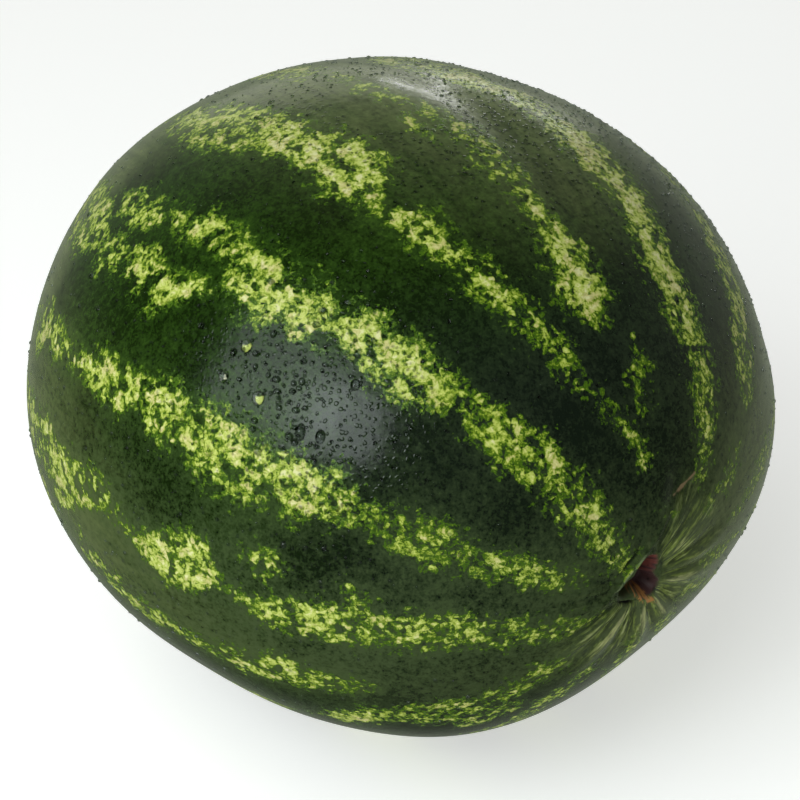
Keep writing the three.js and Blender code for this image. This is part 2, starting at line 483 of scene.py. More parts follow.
def fruit_tree(material):
    sizes = {
        "Length": LENGTH,
        "Width": WIDTH,
        "Height": HEIGHT,
        "Rest Depth": REST_DEPTH,
        "Pit Radius": PIT["radius"],
        "Pit Depth": PIT["depth"],
        "Stub Radius": STUB["radius"],
        "Stub Length": STUB["length"],
    }
    nodes, given = geometry_tree("grown fruit", sizes)
    half_sizes = nodes.scaled(nodes.joined(given["Length"], given["Width"], given["Height"]), 0.5)
    half_length, half_width, half_height = nodes.split(half_sizes)

    # The sphere's own place of a point says how far round and how far along it is
    place = nodes.add("GeometryNodeInputPosition")
    along, across, upward = nodes.split(place)
    colatitude = nodes.math("ARCCOSINE", along)
    longitude = nodes.math("ARCTAN2", upward, across)

    # The ellipsoid, with its blossom pole drawn off the axis
    x, y, z = nodes.split(nodes.vector("MULTIPLY", place, half_sizes))
    from_axis = nodes.math("SQRT", y * y + z * z)
    blossom_side = nodes.math("GREATER_THAN", x, 0.0)
    drawn = nodes.bell(from_axis, NOSE["reach"]) * blossom_side
    nose_y = y + NOSE["across"] * drawn
    nose_z = z + NOSE["up"] * drawn
    left_over = nodes.larger(1 - (nose_y / half_width) ** 2 - (nose_z / half_height) ** 2, 0.0)
    nose_x = x + blossom_side * (half_length * nodes.math("SQRT", left_over) - x)
    point = nodes.joined(nose_x, nose_y, nose_z)

    # The skin, raised and lowered along the ellipsoid's normal
    gradient = nodes.vector("DIVIDE", point, nodes.vector("MULTIPLY", half_sizes, half_sizes))
    outwards = nodes.vector("NORMALIZE", gradient)
    edge = pit_edge(nodes, longitude, given["Pit Radius"])
    pucker = pucker_height(nodes, from_axis, longitude)
    creases = {name: on_crease(nodes, y, z, spec) for name, spec in CREASES.items()}
    blossom = (
        pucker
        + pit_height(nodes, from_axis, longitude, edge, given["Pit Depth"])
        - BLOSSOM_DIP["depth"] * nodes.bell(from_axis, BLOSSOM_DIP["reach"])
    )
    for name, share in creases.items():
        blossom = blossom + CREASES[name]["rise"] * share
    stem = -STEM_DIP["depth"] * nodes.bell(from_axis, STEM_DIP["reach"])
    ends = blossom_side * blossom + (1 - blossom_side) * stem
    rise = swell_height(nodes, point, half_sizes) - furrow_depth(nodes, colatitude, longitude) + ends
    skin = nodes.vector("ADD", point, nodes.scaled(outwards, rise))

    # The stub of the stem, ridged and bent a little upwards
    up_stub = named_number(nodes, "up_stub")
    ridge = 1 + STUB["ridge_size"] * nodes.math("COSINE", longitude * STUB["ridges"])
    radius = given["Stub Radius"] * named_number(nodes, "stub_share") * ridge
    stub = nodes.joined(
        stub_foot() - given["Stub Length"] * up_stub,
        radius * nodes.math("COSINE", longitude),
        radius * nodes.math("SINE", longitude) + STUB["bend"] * up_stub * up_stub,
    )
    is_stub = nodes.math("GREATER_THAN", up_stub, 0.0)
    shape = nodes.add(
        "ShaderNodeMix",
        {"data_type": "VECTOR"},
        {"Factor_Float": is_stub, "A_Vector": skin, "B_Vector": stub},
        "Result_Vector",
    )

    # The underside is pressed flat, and the skin rounds into the flat spot
    x, y, z = nodes.split(shape)
    floor = given["Rest Depth"] - half_height
    above = z - floor
    blended = nodes.smaller(nodes.larger((above + REST_BLEND) / (2 * REST_BLEND), 0.0), 1.0)
    rounded = floor + REST_BLEND * blended * blended + nodes.larger(above - REST_BLEND, 0.0)

    # What the finish has to know is kept before the points move off the sphere
    into_pit = (edge + PIT["wall"] / 2 - from_axis) / MM
    kept = keep(nodes, given["Geometry"], "on_sphere", place, "FLOAT_VECTOR")
    kept = keep(nodes, kept, "into_pit", into_pit * blossom_side - FAR * (1 - blossom_side))
    kept = keep(nodes, kept, "pucker", pucker * blossom_side / MM)
    for name, share in creases.items():
        kept = keep(nodes, kept, name, share * blossom_side)
    pressed = nodes.joined(x, y, rounded)
    moved = nodes.add("GeometryNodeSetPosition", None, {"Geometry": kept, "Position": pressed})
    smooth = nodes.add("GeometryNodeSetShadeSmooth", None, {"Geometry": moved})
    end_tree(nodes, smooth, material)
    return nodes.tree, sizes


def keep(nodes, geometry, name, value, kind="FLOAT"):
    """Stores a value on the points under a name that the finish reads."""
    inputs = {"Geometry": geometry, "Name": name, "Value": value}
    return nodes.add("GeometryNodeStoreNamedAttribute", {"data_type": kind, "domain": "POINT"}, inputs)


def named_number(nodes, name):
    return nodes.add("GeometryNodeInputNamedAttribute", {"data_type": "FLOAT"}, {"Name": name}, "Attribute")


def stub_foot():
    """Where the stub stands in its dimple, measured along the axis from the fruit's middle."""
    from_axis = STUB["radius"] + STUB["flare"]
    skin = math.cos(math.asin(from_axis / MEAN_RADIUS)) * LENGTH / 2
    return STEM_DIP["depth"] * math.exp(-((from_axis / STEM_DIP["reach"]) ** 2)) - skin


# Stripes: colatitude, longitude, half width and paleness of points along the middle of each strand.
# They are laid out on the side that the photograph shows.

SEEN_STRANDS = (
    ((18, 47, 2.2, 0.8), (25, 51, 3, 1.1), (30, 54.5, 4.2, 1.2), (35, 55.5, 3.3, 1.2), (40, 60, 4.6, 1.2),
     (45, 62.5, 3.8, 1.4), (50, 64.5, 3.1, 1.5), (55, 65, 3.1, 1.5), (60, 64, 3.7, 1.4), (65, 66, 4, 1.4),
     (70, 67, 4.1, 1.4), (75, 67.5, 3.8, 1.3), (80, 68, 4.2, 0.9), (85, 70, 4.5, 0.7), (95, 75, 4, 0.6)),
    ((28, 80, 2.5, 0.3), (34, 79, 3, 0.3), (38, 78, 1.5, 0.2)),
    ((42.5, 86, 3, 0.8), (45, 86, 5, 1), (52, 85.5, 4.5, 1), (55, 85, 3.5, 0.8), (60, 85.5, 2.5, 0.6),
     (65, 86, 3, 0.7), (70, 87, 3, 0.7), (75, 86, 2.5, 0.7), (80, 86.5, 2.5, 0.7), (85, 87, 2.5, 0.5),
     (90, 90, 2.5, 0.4), (105, 92, 2, 0.2)),
    ((78, 91.5, 1.5, 0.5), (84, 92.5, 1.5, 0.5)),
    ((20, 84, 2, 0.6), (25, 87, 3, 0.6), (29, 90.5, 3, 0.5), (32, 94, 1.5, 0.4), (35, 98, 2, 0.4),
     (39, 98, 3.3, 0.7), (43, 99, 2.9, 0.7), (47, 99.5, 2.2, 0.7), (50, 102, 2.5, 0.8), (54, 103, 2.7, 0.8),
     (58, 102, 2, 0.6), (60, 104, 2.6, 0.7), (64, 105, 3.6, 0.8), (68, 105, 3.2, 0.7), (70.5, 108, 1, 0.4),
     (73, 106, 2.4, 0.7), (78, 105.5, 4.7, 1.4), (85, 106, 4.3, 1.4), (90, 107.5, 4, 1.2), (97, 110, 5, 1.0),
     (100, 111, 6, 0.7), (105, 112, 6, 0.7), (118, 113, 5, 0.6)),
    ((4, 126, 9, 1), (9, 125, 8, 1.2), (14, 121, 6.5, 1.2), (18.5, 119, 6, 1.1), (23, 119, 6, 1.1),
     (27, 119, 6, 1.1), (31, 120.5, 5.8, 1.1), (36, 121.5, 5, 1), (40, 121, 3.8, 0.8), (42, 121.5, 2.4, 0.6),
     (44, 123.5, 3.5, 0.9), (48, 124.5, 5, 1), (53, 124.5, 5, 1), (58, 124, 4.5, 0.9), (60, 126, 4, 0.8),
     (64, 126.5, 5, 0.9), (68, 127, 5, 0.9), (72, 128, 5.5, 0.9), (76, 128.5, 5, 0.8), (80, 126.5, 3, 0.6),
     (88, 127, 3, 0.6), (92, 129, 3, 0.5), (100, 131, 3, 0.5), (106, 131, 3, 0.5)),
    ((81, 134, 2, 0.6), (86, 139, 4, 0.8), (92, 137, 4, 0.8), (97, 139, 3, 0.6), (101, 140, 4, 0.7),
     (105, 140, 1, 0.4)),
    ((109, 139, 6, 0.6), (116, 138, 7, 0.7), (124, 138, 6, 0.6)),
    ((11, 155, 5, 0.4), (16, 157, 6, 0.6), (20, 156, 5.5, 0.7), (22, 155.5, 5, 0.7), (26, 156.5, 4.5, 0.7),
     (30, 155.5, 5, 0.75), (34, 155, 5, 0.85), (38, 154, 5, 0.85), (41, 153.5, 4, 0.7), (43, 153.5, 2, 0.4),
     (46, 154, 4.5, 0.9), (49, 153, 5.5, 1), (52, 154.5, 5, 1.1), (56, 153.5, 5.5, 1.2), (60, 154.5, 6, 1.2),
     (64, 154.5, 6.3, 1.1), (68, 154, 5.8, 1), (72, 153.5, 4, 0.9), (76, 153.5, 4.2, 0.9), (79, 153, 3, 0.6),
     (83, 155.3, 4, 0.8), (88, 155.3, 4, 0.8), (92, 155.5, 2.5, 0.5), (96, 157, 2, 0.4), (102, 157, 3, 0.5),
     (110, 157, 3, 0.5)),
    ((8, 208, 7, 0.5), (12, 202, 8, 0.7), (16, 195, 8, 0.75), (20, 191, 7, 0.8), (24, 188, 7, 0.8),
     (28, 184.5, 7, 0.85), (32, 184, 5, 0.9), (36, 184, 5, 0.9), (40, 183.5, 5.5, 0.9), (44, 183, 6, 0.8),
     (48, 182, 4, 0.8), (52, 182.5, 4, 0.9), (56, 182, 3.5, 0.8), (58.5, 180, 1.5, 0.4), (61, 178, 2, 0.5),
     (63, 176, 5.5, 1), (66, 177.5, 6, 1.1), (70, 178.5, 5, 1), (73, 179, 4, 0.7), (76, 178, 1, 0.3),
     (80, 174, 2, 0.6), (85, 174, 4, 0.7), (90, 177, 6, 0.7), (95, 180, 7, 0.7), (100, 175, 6, 0.6)),
    ((29, 191, 2, 0.5), (33, 191, 1.5, 0.5)),
    ((40, 174, 2.5, 0.4), (44, 174, 2.5, 0.4)),
    ((53, 172, 3, 0.5), (57, 172, 2.5, 0.5)),
    ((42, 205, 2, 0.3), (50, 202, 4, 0.6), (54, 200, 5.5, 0.8), (58, 201, 4, 0.7), (62, 200, 3.5, 0.7),
     (66, 198, 3, 0.6), (70, 197, 3, 0.4), (80, 195, 4, 0.5), (90, 190, 4, 0.4)),
    ((17, 226, 4, 0.7), (20, 227, 5, 1), (25, 228, 5, 0.8), (30, 226, 4, 0.6), (35, 225, 6, 0.8),
     (40, 224, 6, 0.8), (45, 222, 4, 0.6)),
    ((30, 238, 4, 0.6), (38, 236, 4, 0.6)),
    ((14, 30, 3.5, 0.3), (22, 24, 4, 0.5), (26, 27, 3, 0.4)),
    ((34, 33, 3, 0.7), (38, 34, 5, 0.9), (42, 36, 5.5, 0.9), (46, 37, 4.5, 0.8), (50, 38, 4.5, 0.8),
     (55, 39, 4.5, 0.9), (60, 40, 4, 0.8), (66, 42, 3.5, 0.6)),
    ((21, 1, 3.5, 0.4), (30, 4, 3.5, 0.5)),
    ((12, 60, 4, 0.3), (12.5, 70, 4, 0.3)),
)

# Strands that run on where the photograph shows nothing: where each starts and ends, and its seed
UNSEEN_STRANDS = (
    (95, 168, 75, 1),
    (106, 168, 93, 2),
    (118, 169, 114, 3),
    (124, 168, 137, 4),
    (110, 168, 158, 5),
    (100, 168, 176, 6),
    (90, 167, 190, 7),
    (45, 167, 221, 8),
    (20, 168, 252, 9),
    (14, 167, 276, 10),
    (16, 168, 299, 11),
    (12, 167, 322, 12),
    (15, 168, 343, 13),
    (30, 168, 6, 14),
    (66, 168, 42, 15),
)

# How they wander: the range of each draw, in degrees but for the paleness
DRIFT = (-1.6, 1.6)
STEP = (3.2, 6.0)
BROKEN_SHARE = 0.12
BROKEN = {"half_width": (0.8, 1.6), "pale": (0.2, 0.4)}
WHOLE = {"half_width": (3.2, 6.2), "pale": (0.55, 0.95)}


def wandering_strand(start, end, longitude, seed):
    """Points of a strand that drifts, swells and thins as it goes, by seeded draws."""
    draw = random.Random(seed)
    points = []
    colatitude = start
    while colatitude < end:
        drift = draw.uniform(*DRIFT)
        spec = BROKEN if draw.random() < BROKEN_SHARE else WHOLE
        half_width = draw.uniform(*spec["half_width"])
        pale = draw.uniform(*spec["pale"])
        points.append((colatitude, longitude + drift, half_width, pale))
        colatitude += draw.uniform(*STEP)
    return points


def stripe_layout(colatitudes, longitudes):
    """How many millimetres inside the nearest strand each point is, and that strand's paleness."""
    degrees_long = np.degrees(longitudes)
    degrees_down = np.degrees(colatitudes)
    mm_across = np.sin(colatitudes) * np.radians(1) * MEAN_RADIUS / MM
    mm_along = np.radians(1) * (LENGTH / 2 + MEAN_RADIUS) / 2 / MM
    inside = np.full(len(colatitudes), -FAR)
    pale = np.zeros(len(colatitudes))
    strands = list(SEEN_STRANDS) + [wandering_strand(*spec) for spec in UNSEEN_STRANDS]
    for strand in strands:
        down, middle, half, paleness = np.array(strand).T
        turn = (degrees_long - np.interp(degrees_down, down, middle) + 180) % 360 - 180
        depth = (np.interp(degrees_down, down, half) - np.abs(turn)) * mm_across
        beyond = np.maximum(down[0] - degrees_down, degrees_down - down[-1])
        depth = np.where(beyond > 0, depth - beyond * mm_along, depth)
        better = depth > inside
        inside = np.where(better, depth, inside)
        pale = np.where(better, np.interp(degrees_down, down, paleness), pale)
    return inside, pale


# Where water gathers: longitude, colatitude, reach and share. Beads stand close together in a few
# places, and fine mist lies more widely. A place with a share below 0 stays drier.
BEADED_PLACES = (
    (140, 62, 15 * MM, 1.0),
    (134, 66, 9 * MM, 0.5),
    (145, 56, 9 * MM, 0.7),
    (131, 57, 9 * MM, 0.5),
    (161, 48, 14 * MM, 0.12),
    (137, 51, 9 * MM, -0.6),
)
MISTY_PLACES = (
    (137, 54, 28 * MM, 1.0),
    (140, 49, 12 * MM, 1.0),
    (85, 85, 55 * MM, 0.8),
    (45, 70, 50 * MM, 0.9),
    (150, 80, 60 * MM, 0.35),
    (160, 48, 25 * MM, 0.4),
    (137, 51, 7 * MM, -1.4),
)
LEAST_BEADED = 0.002
LEAST_MISTY = 0.09
BEAD_ROOM = 1.5 * MM
UNDERSIDE = -55 * MM  # below this, measured from the fruit's middle, no water hangs


def wetness(points, places, least):
    """Share of the most water that gathers at each point. None hangs underneath or past the fruit's box."""
    total = np.full(len(points), least)
    for longitude, colatitude, reach, share in places:
        away = np.linalg.norm(points - skin_place(longitude, colatitude), axis=1)
        total += share * np.exp(-((away / reach) ** 2))
    to_side = np.minimum(points.max(axis=0) - points, points - points.min(axis=0)).min(axis=1)
    dry = (points[:, 2] < UNDERSIDE) | (to_side < BEAD_ROOM)
    return np.where(dry, 0, np.clip(total, 0, 1))


def make_fruit(material):
    """The fruit as one mesh, in place, with its layouts stored on its points."""
    sphere = base_sphere()
    units = places_of(sphere)
    tree, sizes = fruit_tree(material)
    fruit = plain_mesh_of("melon", sphere, tree, sizes)

    # It is in its own middle's frame so far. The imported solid's box says where it lies.
    mesh = fruit.data
    points = places_of(mesh)
    low, high = points.min(axis=0), points.max(axis=0)
    scale = (np.array(fruit_high) - np.array(fruit_low)) / (high - low)
    shift = np.array(fruit_low) - low * scale
    mesh.vertices.foreach_set("co", (points * scale + shift).astype(np.float32).ravel())
    mesh.update()

    colatitudes = np.arccos(np.clip(units[:, 0], -1, 1))
    longitudes = np.arctan2(units[:, 2], units[:, 1])
    inside, pale = stripe_layout(colatitudes, longitudes)
    store(mesh, "stripe", inside)
    store(mesh, "pale", pale)
    store(mesh, "beaded", wetness(points, BEADED_PLACES, LEAST_BEADED))
    store(mesh, "misty", wetness(points, MISTY_PLACES, LEAST_MISTY))
    return fruit, Vector(shift.tolist())


# Finishes


def new_material(name):
    material = bpy.data.materials.new(name)
    material.use_nodes = True
    material.node_tree.nodes.clear()
    return material, Nodes(material.node_tree)


def end_material(nodes, inputs):
    shader = nodes.add("ShaderNodeBsdfPrincipled", None, inputs)
    nodes.add("ShaderNodeOutputMaterial", None, {"Surface": shader})


def attribute(nodes, name):
    return nodes.add("ShaderNodeAttribute", {"attribute_name": name}, None, "Fac")


def weighted(weights, **parts):
    """The sum of the parts, each times the weight of the same name."""
    return sum(weights[name] * part for name, part in parts.items())


def centred_noise(nodes, vector, scale):
    """A noise vector that points any way, about half a unit long at most."""
    return nodes.vector("SUBTRACT", nodes.noise(vector, scale, 1.0).output("Color"), (0.5, 0.5, 0.5))


# Colours of the dark ground, of the stripes from their edges to their palest tufts, and of the rest
BLACK_GREEN = colour(0.005, 0.014, 0.001)
DEEP_GREEN = colour(0.024, 0.060, 0.006)
# very dark greens for painted shade; at the blossom end they are partly the rind's own colour
SHADE_NIGHT_GREEN = colour(0.007, 0.012, 0.007)
SHADE_DUSK_GREEN = colour(0.024, 0.036, 0.019)
# lighter grey-green of the painted reflection of the floor, low on the sides
LOW_FLOOR_SHEEN_GREEN = colour(0.052, 0.078, 0.028)
LEAF_GREEN = colour(0.062, 0.135, 0.007)
YELLOW_GREEN = colour(0.270, 0.370, 0.032)
CREAM = colour(0.560, 0.640, 0.140)
TAN = colour(0.620, 0.560, 0.230)
PALE_CREAM = colour(0.760, 0.760, 0.380)
# grey-green of the painted sheen round the blossom end, also used at the pit's brink
HAZE_GREEN = colour(0.080, 0.105, 0.045)
# pale green of the painted sheen at the rims and on the far side
PAINTED_SHEEN_GREEN = colour(0.140, 0.175, 0.060)
RAY_GREEN = colour(0.200, 0.270, 0.045)
# painted highlights on the streaks at the blossom end
RAY_HIGHLIGHT = colour(0.520, 0.560, 0.260)
# painted light that large drops focus onto the skin under them
CAUSTIC_YELLOW = colour(0.62, 0.72, 0.17)
CAUSTIC_PALE = colour(0.85, 0.85, 0.62)
GROUND_YELLOW = colour(0.52, 0.42, 0.16)
FOLD_GREEN = colour(0.24, 0.29, 0.15)
# painted shade in the slit under the pit
SLIT_SHADE_BLACK = colour(0.003, 0.003, 0.002)
SCAR_PURPLE = colour(0.066, 0.030, 0.030)
SCAR_RED = colour(0.20, 0.050, 0.038)
SCAR_ORANGE = colour(0.38, 0.18, 0.055)
CLEAR_WATER = colour(1, 1, 1)
# grey tint that paints shade into the drops, for their dark rings
SHADE_TINTED_WATER = colour(0.48, 0.54, 0.50)
CORK = colour(0.16, 0.12, 0.06)
CORK_PALE = colour(0.36, 0.30, 0.17)
PINCH_BROWN = colour(0.25, 0.17, 0.09)

# How much each thing lightens the dark ground
GROUND_LIGHT = {
    "everywhere": -0.045,
    "blotches": 0.46,
    "flecks": 0.58,
    "grain": 0.42,
    "beside_stripe": 0.07,
    # painted reflection of the pale floor, low on the sides
    "low_down": 0.08,
    # darker near the blossom end: partly the rind's own colour, partly painted shade
    "near_blossom": -0.05,
}

# How high each thing stands on the rind, in millimetres, and how rough it makes it
RELIEF = {
    "undulation": 0.12,
    "pores": 0.07,
    "grain": 0.010,
    "stripes": 0.02,
    "rays": 0.14,
    "mist": 0.08,
    "cork": 0.25,
    "tissue": 0.5,
}
ROUGHNESS = {
    "everywhere": 0.18,
    "stripes": 0.08,
    "flecks": 0.20,
    "cork": 0.4,
    "pit": 0.25,
    "beads": 0.10,
}

RIND_IOR = 1.42  # with its wax
WATER_IOR = 1.33

PAINTED_SHEEN_SIDE = (-0.702, 0.470, -0.534)  # the way that the side with the painted sheen faces: away from the camera
GROUND_SPOT = {"longitude": 268, "colatitude": 88, "reach": 40 * MM}

# A short brown pinch in the skin near the scar: its two ends, as longitude and colatitude
PINCH = {"start": (63.5, 14.6), "end": (52, 18.4), "half_width": 0.7 * MM}
CAUSTIC_SHIFT = 0.35  # degrees from the middle of a large drop towards the blossom end


def large_drop(longitude, colatitude, radius, stretch, fleck=0, caustic_colour=None):
    """A drop that is placed one by one, in millimetres. A fleck is the radius of a spot of painted light on
    the skin under it: the light that the drop focuses there."""
    return {
        "place": (longitude, colatitude),
        "caustic_place": (longitude, colatitude - CAUSTIC_SHIFT),
        "radius": radius * MM,
        "stretch": stretch,
        "fleck": fleck * MM,
        "caustic_colour": caustic_colour,
    }


LARGE_DROPS = (
    large_drop(137.4, 69.1, radius=1.9, stretch=1.1, fleck=1.2, caustic_colour=CAUSTIC_YELLOW),
    large_drop(143.4, 69.3, radius=1.7, stretch=1.2, fleck=0.9, caustic_colour=CAUSTIC_PALE),
    large_drop(143.3, 63.4, radius=2.1, stretch=1.1, fleck=1.3, caustic_colour=CAUSTIC_YELLOW),
    large_drop(144.5, 56.0, radius=2.0, stretch=1.35),
    large_drop(143.4, 53.4, radius=1.8, stretch=1.2),
    large_drop(132.1, 53.8, radius=1.6, stretch=1.1),
)
CLEAR_DROPS = [drop for drop in LARGE_DROPS if drop["fleck"]]
DARK_DROPS = [drop for drop in LARGE_DROPS if not drop["fleck"]]


class Skin:
    """Signals that say where a point of the skin is, for the parts of the finish to read."""

    def __init__(self, n):
        self.place = n.add("ShaderNodeTexCoord", None, None, "Object")
        self.on_sphere = n.add("ShaderNodeAttribute", {"attribute_name": "on_sphere"}, None, "Vector")
        self.on_ellipsoid = n.vector("MULTIPLY", self.on_sphere, tuple(HALF_SIZES))
        along, across, upward = n.split(self.on_sphere)
        angle = n.math("ARCCOSINE", along)
        self.colatitude = angle * (180 / math.pi)
        self.from_axis = n.math("SINE", angle) * (MEAN_RADIUS / MM)
        _, self.turn_y, self.turn_z = n.split(n.vector("NORMALIZE", n.joined(0.0, across, upward)))
        self.blossom_side = n.math("GREATER_THAN", along, 0.0)
        self.torn = n.vector("ADD", self.place, n.scaled(centred_noise(n, self.place, 300), 1.7 * MM))
        self.fleck = n.noise(self.torn, 420, 3.0, 0.65)
        self.grain = n.noise(self.place, 1100, 2.0, 0.6)
        self.stripe = attribute(n, "stripe")
        self.into_pit = attribute(n, "into_pit")

    def towards(self, longitude):
        """1 at this longitude, falling to -1 on the other side of the axis."""
        turn = math.radians(longitude)
        return self.turn_y * math.cos(turn) + self.turn_z * math.sin(turn)

    def streaks(self, n, fineness, along, roughness):
        """Noise that is fine round the axis and drawn out by how slowly a measure along it grows."""
        place = n.joined(self.turn_y * fineness, self.turn_z * fineness, along)
        return n.noise(place, 1.0, 3.0, roughness)

    def from_place(self, n, longitude, colatitude):
        """How far a point is from a place on the skin."""
        return n.distance(self.on_ellipsoid, skin_place(longitude, colatitude))


def ground_colour(n, skin):
    """The dark ground, blotched and flecked. It is greener beside the stripes, and lighter and greyer low on
    the sides, a painted reflection of the pale floor. Towards the blossom end it is almost black, partly
    its own colour and partly painted shade."""
    blotch = n.noise(skin.place, 30, 3.0, 0.6)
    near_stripe = n.smooth(skin.stripe, -8, 0)
    height = n.split(skin.on_ellipsoid)[2]
    low_down = n.smooth(height, 75 * MM, -15 * MM) * (1 - 0.7 * n.smooth(height, -15 * MM, -60 * MM))
    near_blossom = n.smooth(skin.colatitude, 66, 34)
    lighter = weighted(
        GROUND_LIGHT,
        everywhere=1,
        blotches=blotch,
        flecks=skin.fleck,
        grain=skin.grain - 0.5,
        beside_stripe=near_stripe,
        low_down=low_down,
        near_blossom=near_blossom,
    )
    green = n.mix(n.smooth(lighter, 0.34, 0.70), BLACK_GREEN, DEEP_GREEN)
    dusk = n.mix(n.smooth(lighter, 0.34, 0.70), SHADE_NIGHT_GREEN, SHADE_DUSK_GREEN)
    # Towards the blossom end: partly the rind's own darker colour, partly painted shade
    base = n.mix(near_blossom * (1 - 0.45 * low_down), green, dusk)
    base = n.mix(n.smooth(lighter, 0.58, 0.80) * 0.5, base, LEAF_GREEN)
    # Low on the sides: painted reflection of the pale floor
    return n.mix(low_down * n.smooth(lighter, 0.32, 0.70), base, LOW_FLOOR_SHEEN_GREEN)


# How far each pattern moves the edge of a stripe, in millimetres
BROAD = 10
CLUMPS = 13
FINE = 16
THREADS = 9
TUFTS = 4.6
TUFT_MIDDLES = 2.4
GAPS = 5.0
FAINT = 3.2


def stripe_tone(n, skin):
    """How far the skin is inside a stripe, moved in and out by clumps and tufts that stand together and
    are full of gaps. It is below 0 on the dark ground and above 5 on the palest tufts. Towards the blossom
    end the stripes break up less, into threads that run along them."""
    near_blossom = n.smooth(skin.colatitude, 56, 34)
    broad = n.noise(skin.place, 75, 2.0, 0.55) - 0.5
    clumps = n.noise(skin.torn, 260, 3.0, 0.65) - 0.5
    fine = n.noise(skin.torn, 720, 3.0, 0.75) - 0.5
    tufts = n.cells(skin.torn, 560)
    tuft_shade = n.split(tufts.output("Color"))[0] - 0.5
    gaps = n.smooth(n.noise(skin.torn, 190, 2.0), 0.50, 0.62)
    threads = skin.streaks(n, 34, skin.colatitude * 0.25, 0.65)
    less_broken = 1 - 0.6 * near_blossom
    tone = n.smaller(skin.stripe, 3.5 - 2.2 * near_blossom) + 0.6 + CLUMPS * clumps + FINE * fine
    tone = tone + BROAD * broad * less_broken + THREADS * (threads - 0.5) * near_blossom
    tone = tone + TUFTS * tuft_shade - TUFT_MIDDLES * (tufts - 0.42)
    return tone - GAPS * gaps * less_broken - FAINT * (1 - attribute(n, "pale"))


def striped(n, skin, tone, base):
    """The stripes' colours, from leaf green at their torn edges to cream, with tan patches."""
    tan_share = n.smooth(n.noise(skin.place, 150, 2.0), 0.50, 0.64) * 0.8
    skin_colour = n.mix(n.smooth(tone, -1.6, -0.3), base, LEAF_GREEN)
    skin_colour = n.mix(n.smooth(tone, 0.9, 2.6), skin_colour, YELLOW_GREEN)
    skin_colour = n.mix(n.smooth(tone, 2.5, 5.0), skin_colour, n.mix(tan_share, CREAM, TAN))
    return n.mix(n.smooth(tone, 5.4, 8.6), skin_colour, PALE_CREAM)


def rayed(n, skin, base):
    """Folds and thin pale streaks that run out from the blossom end, except on its upper left side, on a
    painted grey-green sheen. The folds' valleys get painted shade, and their crests and the palest bits of
    the streaks get painted highlights. Returns the colour and how strong the streaks' relief is."""
    clear_side = n.smooth(skin.towards(135), 0.45, -0.15)
    reach = n.smooth(skin.colatitude, 21, 7) * n.smooth(skin.from_axis, 8, 11) * skin.blossom_side
    shown = reach * (0.04 + 0.96 * clear_side)
    streaks = skin.streaks(n, 15, skin.colatitude * 0.2, 0.7)
    broken = streaks + 0.16 * (skin.fleck - 0.5)
    pucker = attribute(n, "pucker")
    # Painted sheen round the blossom end
    base = n.mix(shown * 0.7, base, HAZE_GREEN)
    # Painted shade in the folds' valleys
    base = n.mix(n.smooth(pucker, -0.1, -0.6) * reach * 0.7, base, SHADE_NIGHT_GREEN)
    base = n.mix(n.smooth(broken, 0.47, 0.58) * shown * 0.8, base, RAY_GREEN)
    # Painted highlights on the streaks and on the folds' crests
    base = n.mix(n.smooth(broken, 0.57, 0.70) * shown * 0.8, base, RAY_HIGHLIGHT)
    base = n.mix(n.smooth(pucker + 2 * (streaks - 0.5), 0.4, 0.9) * shown * 0.4, base, PALE_CREAM)
    return base, reach * streaks


def with_painted_sheen(n, skin, in_stripe, base):
    """A pale green painted sheen where the rind turns away from the camera, as grazing light glances off it:
    thick on the far side of the top and thin low down."""
    to_side = n.dot(skin.on_sphere, PAINTED_SHEEN_SIDE)
    _, across, height = n.split(skin.on_sphere)
    far = n.smooth(across, -0.6, 0.0) * n.smooth(to_side, -1.0, -0.4)
    at_rim = 0.8 * n.smooth(to_side, -0.55, -0.35)
    thick = n.smooth(height, 0.68, 0.92) * n.larger(far, at_rim)
    low = n.smooth(height, 0.60, 0.20) * n.smooth(height, -0.45, -0.05)
    edge = 0.65 * n.smooth(to_side, -0.46, -0.28) * n.smooth(height, -0.3, 0.2)
    share = n.larger(0.75 * thick + 0.45 * low * n.smooth(to_side, -0.80, -0.42), edge)
    swept = skin.streaks(n, 26, skin.colatitude * 0.1, 0.65)
    mottled = share * (1 + 2.0 * (skin.fleck - 0.5) + 2.4 * (swept - 0.5))
    return n.mix(mottled * (1 - 0.8 * in_stripe), base, PAINTED_SHEEN_GREEN)


def with_ground_spot(n, skin, base):
    """The yellow patch where the fruit lay on the ground."""
    ragged = 1.3 * (n.noise(skin.place, 60, 4.0, 0.6) - 0.5)
    away = skin.from_place(n, GROUND_SPOT["longitude"], GROUND_SPOT["colatitude"])
    spot = n.smooth(away / GROUND_SPOT["reach"] + ragged, 1.15, 0.75)
    spot_colour = n.mix(n.smooth(skin.fleck, 0.45, 0.65) * 0.4, GROUND_YELLOW, CREAM)
    return n.mix(spot * 0.9, base, spot_colour)


def with_painted_caustics(n, skin, base):
    """Painted light: bright spots on the skin under some of the largest drops, where they focus the light.
    """
    for drop in CLEAR_DROPS:
        away = skin.from_place(n, *drop["caustic_place"])
        ragged = away + 2.8 * MM * (n.noise(skin.place, 500, 2.0) - 0.5)
        base = n.mix(n.smooth(ragged, drop["fleck"], 0.6 * drop["fleck"]), base, drop["caustic_colour"])
    return base


def with_pinch(n, skin, base):
    """The brown pinch: the skin that is near the straight line between its two ends."""
    start = skin_place(*PINCH["start"])
    towards = Vector(skin_place(*PINCH["end"])) - Vector(start)
    beyond = n.vector("SUBTRACT", skin.on_ellipsoid, start)
    share = n.dot(beyond, tuple(towards / towards.length_squared))
    share = n.smaller(n.larger(share, 0.0), 1.0)
    nearest = n.scaled(tuple(towards), share)
    away = n.distance(beyond, nearest)
    ragged = away + 2.4 * MM * (n.noise(skin.place, 420, 2.0) - 0.5)
    on_pinch = n.smooth(ragged, PINCH["half_width"], 0.2 * PINCH["half_width"])
    return n.mix(on_pinch * 0.8, base, PINCH_BROWN)


